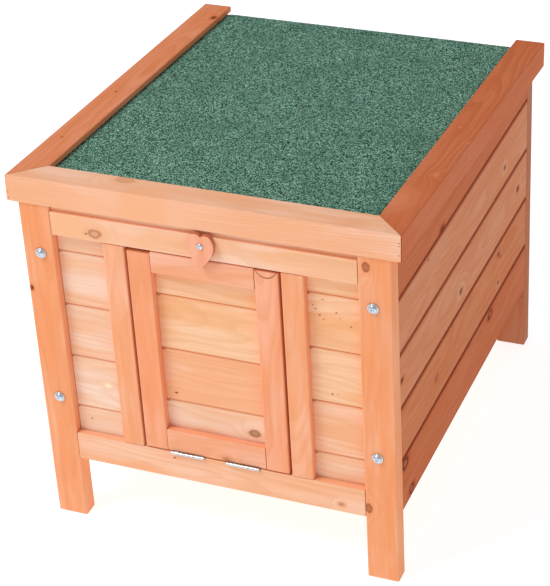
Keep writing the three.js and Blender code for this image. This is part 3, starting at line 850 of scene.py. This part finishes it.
def felt_material():
    """Bitumen felt with a surface of crushed green mineral granules."""
    g = Graph("mineral_felt")
    position = g.position_mm()
    cells = g.node("TexVoronoi", {"Vector": position, "Scale": 1.1, "Randomness": 1.0})
    shade = g.node("SeparateColor", {0: cells.outputs["Color"]}).outputs
    fine = g.noise(position, 1.9, 2.0, 0.7)
    broad = g.noise(position, 0.02, 3.0)
    level = g.math("MULTIPLY_ADD", shade[0], 0.8, g.math("MULTIPLY_ADD", fine, 0.45, -0.13))
    ramp = g.node("ValToRGB", {0: level})
    points = ramp.color_ramp.elements
    for index, (place, colour) in enumerate(GRANULE_TONES):
        point = points[index] if index < 2 else points.new(place)
        point.position = place
        point.color = colour
    tone = g.mix(g.span(broad, 0.35, 0.7, 0.0, 0.35), ramp.outputs[0], FELT_FADED)
    # Bright specks: partly pale granules, partly painted glints.
    pale_and_glint = g.span(shade[1], 0.93, 0.95)
    tone = g.mix(g.math("MULTIPLY", pale_and_glint, 0.7), tone, FELT_PALE_AND_GLINT)
    dark = g.span(shade[2], 0.88, 0.9)
    tone = g.mix(g.math("MULTIPLY", dark, 0.75), tone, FELT_DARK)
    height = g.math("SUBTRACT", g.math("MULTIPLY", fine, 0.5), cells.outputs["Distance"])
    bump = g.node("Bump", {"Strength": 0.9, "Distance": 0.8 * MM, "Height": height})
    return g.finish(Base_Color=tone, Roughness=0.93, Normal=bump.outputs[0], Specular_IOR_Level=0.25)


def felt_height(x, y):
    """The felt's top face: it dips between its nails, is uneven and is tucked under the trims."""
    slow = noise.noise(Vector((x * 9, y * 7, 3.1))) * 0.5 + 0.5
    quick = noise.noise(Vector((x * 260, y * 260, 8.4))) * 0.5 + 0.5
    under_trim = (abs(x) - (roof_half_width - TRIM_WIDTH - FELT_TUCK)) / FELT_TUCK
    tucked = max(0.0, min(1.0, under_trim))
    return -FELT_DROP - FELT_DIP * slow - FELT_ROUGHNESS * quick - FELT_TUCK_DEPTH * tucked


def felt():
    """The sheet of felt, as a closed slab on a grid."""
    columns = round(2 * felt_half / FELT_STEP)
    rows = round((FELT_BACK - felt_front) / FELT_STEP)
    bm = bmesh.new()

    def grid(height):
        made = []
        for j in range(rows + 1):
            y = felt_front + (FELT_BACK - felt_front) * j / rows
            across = [-felt_half + 2 * felt_half * i / columns for i in range(columns + 1)]
            made.append([bm.verts.new((x, y, height(x, y))) for x in across])
        return made

    top = grid(felt_height)
    base = grid(lambda x, y: -FELT_DROP - FELT_THICKNESS)
    for j in range(rows):
        for i in range(columns):
            bm.faces.new((top[j][i], top[j][i + 1], top[j + 1][i + 1], top[j + 1][i]))
            bm.faces.new((base[j][i], base[j + 1][i], base[j + 1][i + 1], base[j][i + 1]))
    rim = [(0, i) for i in range(columns)] + [(j, columns) for j in range(rows)]
    rim += [(rows, i) for i in range(columns, 0, -1)] + [(j, 0) for j in range(rows, 0, -1)]
    for (j, i), (next_j, next_i) in zip(rim, rim[1:] + rim[:1]):
        bm.faces.new((top[j][i], base[j][i], base[next_j][next_i], top[next_j][next_i]))
    mesh = bpy.data.meshes.new("roof_felt_sheet")
    made = finish_mesh("roof_felt_sheet", mesh, bm, felt_material(), "roof_lid", ["roof_felt"])
    return tilt(made)


felt()

# ------------------------------------------------------------------- metal


def metal_material(name, colour, roughness, marks):
    """Plated steel: slight clouding and fine wiping marks in its roughness."""
    g = Graph(name)
    position = g.position_mm()
    cloud = g.noise(position, 0.9, 3.0, 0.6)
    fine = g.noise(g.vector("MULTIPLY", position, (0.4, 1.0, 4.0)), 1.4, 3.0)
    tone = g.mix(g.span(cloud, 0.35, 0.7), scaled(colour, 0.86, 0.9, 0.95), colour)
    rough = g.math("ADD", roughness, g.math("MULTIPLY", g.math("SUBTRACT", fine, 0.5), marks))
    bump = g.node("Bump", {"Strength": 0.12, "Distance": 0.05 * MM, "Height": fine})
    return g.finish(Base_Color=tone, Metallic=1.0, Roughness=rough, Normal=bump.outputs[0])


zinc = metal_material("bright_zinc", linear(212, 220, 228), 0.27, 0.16)
steel = metal_material("bright_steel", linear(214, 214, 212), 0.26, 0.14)
dark_steel = metal_material("dark_pin_steel", linear(84, 62, 52), 0.5, 0.1)


TURNED_SEGMENTS = 64
SMALL_SEGMENTS = 40
PIN_SEGMENTS = 20
RING_TURN = math.pi / 5  # from the X axis to the first point of each ring
CROSS_REACH = 1.5  # the recess is cut into this many times its depth of the head
CROSS_SLOPE = 0.25 * MM


def slope(edge, value):
    """1 inside the edge, 0 outside it, with a short slope between."""
    return max(0.0, min(1.0, (edge + CROSS_SLOPE - value) / CROSS_SLOPE))


def sink_cross(bm, facing, head_top, cross):
    """Presses a cross recess of (half width, half length, depth) into a head."""
    half_width, half_length, depth = cross
    start = head_top - depth * CROSS_REACH
    for vert in bm.verts:
        if -facing * vert.co.y < start:
            continue
        x, z = abs(vert.co.x), abs(vert.co.z)
        level_arm = slope(half_width, x) * slope(half_length, z)
        upright_arm = slope(half_width, z) * slope(half_length, x)
        vert.co.y += facing * depth * max(level_arm, upright_arm)


def turned(name, profile, place, facing, body, nodes, material, cross=None, segments=TURNED_SEGMENTS):
    """A turning about the Y axis, which looks forwards where facing is 1. profile runs from
    the inside end to the middle of the head as (radius, height) pairs."""
    bm = bmesh.new()
    rings = []
    for radius, height in profile:
        if radius == 0:
            rings.append([bm.verts.new((0, -facing * height, 0))])
            continue
        ring = []
        for k in range(segments):
            angle = 2 * math.pi * k / segments + RING_TURN
            x, z = radius * math.cos(angle), radius * math.sin(angle)
            ring.append(bm.verts.new((x, -facing * height, z)))
        rings.append(ring)
    for first, second in zip(rings, rings[1:]):
        for k in range(segments):
            n = (k + 1) % segments
            if len(first) == 1:
                bm.faces.new((first[0], second[k], second[n]))
            elif len(second) == 1:
                bm.faces.new((first[k], first[n], second[0]))
            else:
                bm.faces.new((first[k], first[n], second[n], second[k]))
    if cross:
        sink_cross(bm, facing, profile[-1][1], cross)
    mesh = bpy.data.meshes.new(name)
    made = finish_mesh(name, mesh, bm, material, body, nodes, matrix=Matrix.Translation(place))
    return made


def dome(radius, height, base, rings):
    """Points of a flattened dome from its rim to its middle."""
    points = []
    for step in range(rings):
        angle = step / rings * math.pi / 2
        points.append((radius * math.cos(angle), base + height * math.sin(angle)))
    return points + [(0, base + height)]


BOLT_LENGTH = 34 * MM
BOLT_SHAFT = 2.8 * MM
BOLT_HEAD = {"radius": 4.9 * MM, "height": 3 * MM, "rings": 14}
BOLT_HEAD_FOOT = 5.1 * MM
BOLT_CROSS = (0.45 * MM, 1.9 * MM, 1.1 * MM)
WASHER = 6 * MM
WASHER_TOP = 1.4 * MM
WASHER_EASE_BELOW = (0.3 * MM, 0.25 * MM)  # across and up
WASHER_EASE_ABOVE = (0.35 * MM, 0.3 * MM)


def bolt(node):
    low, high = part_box(node)
    is_front = "front" in node
    middle = (low + high) / 2
    seat = Vector((middle.x, front_face if is_front else back_face, middle.z))
    profile = [
        (0, -BOLT_LENGTH),
        (BOLT_SHAFT, -BOLT_LENGTH),
        (BOLT_SHAFT, GAP),
        (WASHER - WASHER_EASE_BELOW[0], GAP),
        (WASHER, GAP + WASHER_EASE_BELOW[1]),
        (WASHER, WASHER_TOP - WASHER_EASE_ABOVE[1]),
        (WASHER - WASHER_EASE_ABOVE[0], WASHER_TOP),
        (BOLT_HEAD_FOOT, WASHER_TOP),
    ]
    profile += dome(base=WASHER_TOP, **BOLT_HEAD)
    turned(node + "_turned", profile, seat, 1 if is_front else -1, body_of_node(node), [node], zinc,
           cross=BOLT_CROSS)


for node in frame["nodes"]:
    if node.startswith("bolt_"):
        bolt(node)

LATCH_SHAFT = 1.8 * MM
LATCH_HEAD = {"radius": 3.4 * MM, "height": 1.9 * MM, "rings": 12}
LATCH_HEAD_BASE = 6.2 * MM  # in front of the posts, clear of the heart's face
LATCH_CROSS = (0.4 * MM, 1.5 * MM, 0.9 * MM)


def latch_screw(node):
    low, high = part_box(node)
    middle = (low + high) / 2
    inside_end = front_face - high.y
    profile = [(0, inside_end), (LATCH_SHAFT, inside_end), (LATCH_SHAFT, LATCH_HEAD_BASE)]
    profile += dome(base=LATCH_HEAD_BASE, **LATCH_HEAD)
    place = Vector((middle.x, front_face, middle.z))
    turned(node + "_turned", profile, place, 1, body_of_node(node), [node], zinc, cross=LATCH_CROSS)


latch_screw("latch_screw")

PIN_RADIUS = 0.6 * MM
PIN_LENGTH = 3 * MM
PIN_INSET = 2.5 * MM
PIN_DOME = 0.15 * MM
PIN_RINGS = 4
PIN_DROPS = {"left": (19, 26), "right": (9, 12, 22)}


def corner_pins():
    """The pins that hold the mitred corners, each so many mm below the roof's top edge."""
    profile = [(0, -PIN_LENGTH), (PIN_RADIUS, -PIN_LENGTH)] + dome(PIN_RADIUS, PIN_DOME, 0, PIN_RINGS)
    for side_name, drops in PIN_DROPS.items():
        x = (roof_half_width - PIN_INSET) * (1 if side_name == "right" else -1)
        for drop in drops:
            name = f"front_trim_pin_{side_name}_{drop}"
            tilt(turned(name, profile, Vector((x, 0, -drop * MM)), 1, "roof_lid", [], dark_steel,
                        segments=PIN_SEGMENTS))


corner_pins()

HINGE_BARREL = 5 * MM
HINGE_PLATE = 1 * MM
HINGE_SCREW_SPREAD = 15 * MM
HINGE_SCREW_MARGIN = 8.8 * MM
HINGE_SCREW_LENGTH = 12 * MM
HINGE_SCREW_SHAFT = 1.4 * MM
HINGE_SCREW_FOOT = 0.02 * MM
HINGE_SCREW_BASE = 0.25 * MM
HINGE_SCREW_HEAD = {"radius": 2.6 * MM, "height": 1.1 * MM, "rings": 8}
HINGE_SCREW_CROSS = (0.35 * MM, 1.3 * MM, 0.7 * MM)


def hinge_screws(node):
    """Two screws in one leaf of a roof hinge."""
    low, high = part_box(node)
    profile = [
        (0, -HINGE_SCREW_LENGTH),
        (HINGE_SCREW_SHAFT, -HINGE_SCREW_LENGTH),
        (HINGE_SCREW_SHAFT, 0),
        (HINGE_SCREW_HEAD["radius"], HINGE_SCREW_FOOT),
    ]
    profile += dome(base=HINGE_SCREW_BASE, **HINGE_SCREW_HEAD)
    plate_face = high.y - HINGE_BARREL + HINGE_PLATE
    is_frame_leaf = node.endswith("frame")
    height = low.z + HINGE_SCREW_MARGIN if is_frame_leaf else high.z - HINGE_SCREW_MARGIN
    for end, offset in (("a", -HINGE_SCREW_SPREAD), ("b", HINGE_SCREW_SPREAD)):
        place = Vector(((low.x + high.x) / 2 + offset, plate_face, height))
        turned(f"{node}_screw_{end}", profile, place, -1, body_of_node(node), [], zinc,
               cross=HINGE_SCREW_CROSS, segments=SMALL_SEGMENTS)


for node in frame["nodes"]:
    if node.startswith("roof_hinge_"):
        hinge_screws(node)

HINGE_EASE = 0.12 * MM
HEART_EASE = 0.7 * MM
EASE_SEGMENTS = 3
EASE_ANGLE = math.radians(40)
FLAT_ANGLE = math.radians(1)
WELD_DISTANCE = 1e-6


def softened(node, material, width):
    """A CAD piece of the right shape, remade with eased edges and smooth round faces."""
    source = frame["nodes"][node]
    mesh = source.data.copy()
    mesh.materials.clear()
    bm = bmesh.new()
    bm.from_mesh(mesh)
    bmesh.ops.remove_doubles(bm, verts=bm.verts, dist=WELD_DISTANCE)
    bmesh.ops.dissolve_limit(bm, angle_limit=FLAT_ANGLE, verts=bm.verts, edges=bm.edges)
    name = node + "_eased"
    mesh.name = name
    made = finish_mesh(name, mesh, bm, material, body_of_node(node), [node])
    eased = made.modifiers.new("eased_edges", "BEVEL")
    eased.width = width
    eased.segments = EASE_SEGMENTS
    eased.limit_method = "ANGLE"
    eased.angle_limit = EASE_ANGLE
    eased.harden_normals = False
    made.modifiers.move(1, 0)  # before the shading


for node in frame["nodes"]:
    if "_hinge_" in node:
        softened(node, steel, HINGE_EASE)

heart_low, heart_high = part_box("latch_heart")
# The heart's saw-cut edge faces carry painted shade.
heart_wood = wood("latch_heart_wood", HEART, heart_low, heart_high, "z", 130, shaded_edge_axis="y")
softened("latch_heart", heart_wood, HEART_EASE)

# --------------------------------------------------------------- lights, stage

FLOOR_HALF = 6
FLOOR_COLOUR = (0.5, 0.54, 0.58, 1)
FLOOR_GLOW = 0.76
WHITE = (1, 1, 1, 1)
WORLD_STRENGTH = 0.5
KEY_PLACE = Vector((-1.5, -1.5, 2.9))
KEY_TARGET = Vector((0, 0, 0.2))
KEY_SIZE = 1.4
KEY_POWER = 48


def pale_floor():
    mesh = bpy.data.meshes.new("floor")
    bm = bmesh.new()
    bmesh.ops.create_grid(bm, x_segments=2, y_segments=2, size=FLOOR_HALF)
    bm.to_mesh(mesh)
    bm.free()
    floor = bpy.data.objects.new("floor", mesh)
    bpy.context.scene.collection.objects.link(floor)
    pale = Graph("pale_floor")
    mesh.materials.append(pale.finish(
        Base_Color=FLOOR_COLOUR,
        Roughness=0.9,
        Emission_Color=WHITE,
        Emission_Strength=FLOOR_GLOW,
    ))


def studio():
    """An even white surround with one soft key light from the front left."""
    world = bpy.data.worlds.new("studio")
    bpy.context.scene.world = world
    world.use_nodes = True
    background = world.node_tree.nodes["Background"]
    background.inputs["Color"].default_value = WHITE
    background.inputs["Strength"].default_value = WORLD_STRENGTH
    data = bpy.data.lights.new("key", "AREA")
    data.shape = "DISK"
    data.size = KEY_SIZE
    data.energy = KEY_POWER
    lamp = bpy.data.objects.new("key", data)
    bpy.context.scene.collection.objects.link(lamp)
    lamp.location = KEY_PLACE
    lamp.rotation_euler = (KEY_TARGET - KEY_PLACE).to_track_quat("-Z", "Y").to_euler()


pale_floor()
studio()

# ---------------------------------------------------------------- camera

CAMERA_AIM = Vector((0.008, -0.088, 0.231))
CAMERA_DISTANCE = 2.2
CAMERA_TURN = math.radians(23.8)
CAMERA_TILT = math.radians(31.7)
CAMERA_ROLL = math.radians(-3.5)
CAMERA_LENS = 122.5
CAMERA_SENSOR = 36

forward = Vector((
    -math.sin(CAMERA_TURN) * math.cos(CAMERA_TILT),
    math.cos(CAMERA_TURN) * math.cos(CAMERA_TILT),
    -math.sin(CAMERA_TILT),
))
right = forward.cross(Vector((0, 0, 1))).normalized()
up = right.cross(forward)
rolled_right = right * math.cos(CAMERA_ROLL) + up * math.sin(CAMERA_ROLL)
rolled_up = up * math.cos(CAMERA_ROLL) - right * math.sin(CAMERA_ROLL)
camera_data = bpy.data.cameras.new("camera")
camera_data.lens = CAMERA_LENS
camera_data.sensor_width = CAMERA_SENSOR
camera = bpy.data.objects.new("camera", camera_data)
bpy.context.scene.collection.objects.link(camera)
turn = Matrix((rolled_right, rolled_up, -forward)).transposed().to_4x4()
camera.matrix_world = Matrix.Translation(CAMERA_AIM - forward * CAMERA_DISTANCE) @ turn
bpy.context.scene.camera = camera
bpy.context.scene.view_settings.view_transform = "Standard"
bpy.context.scene.view_settings.look = "None"
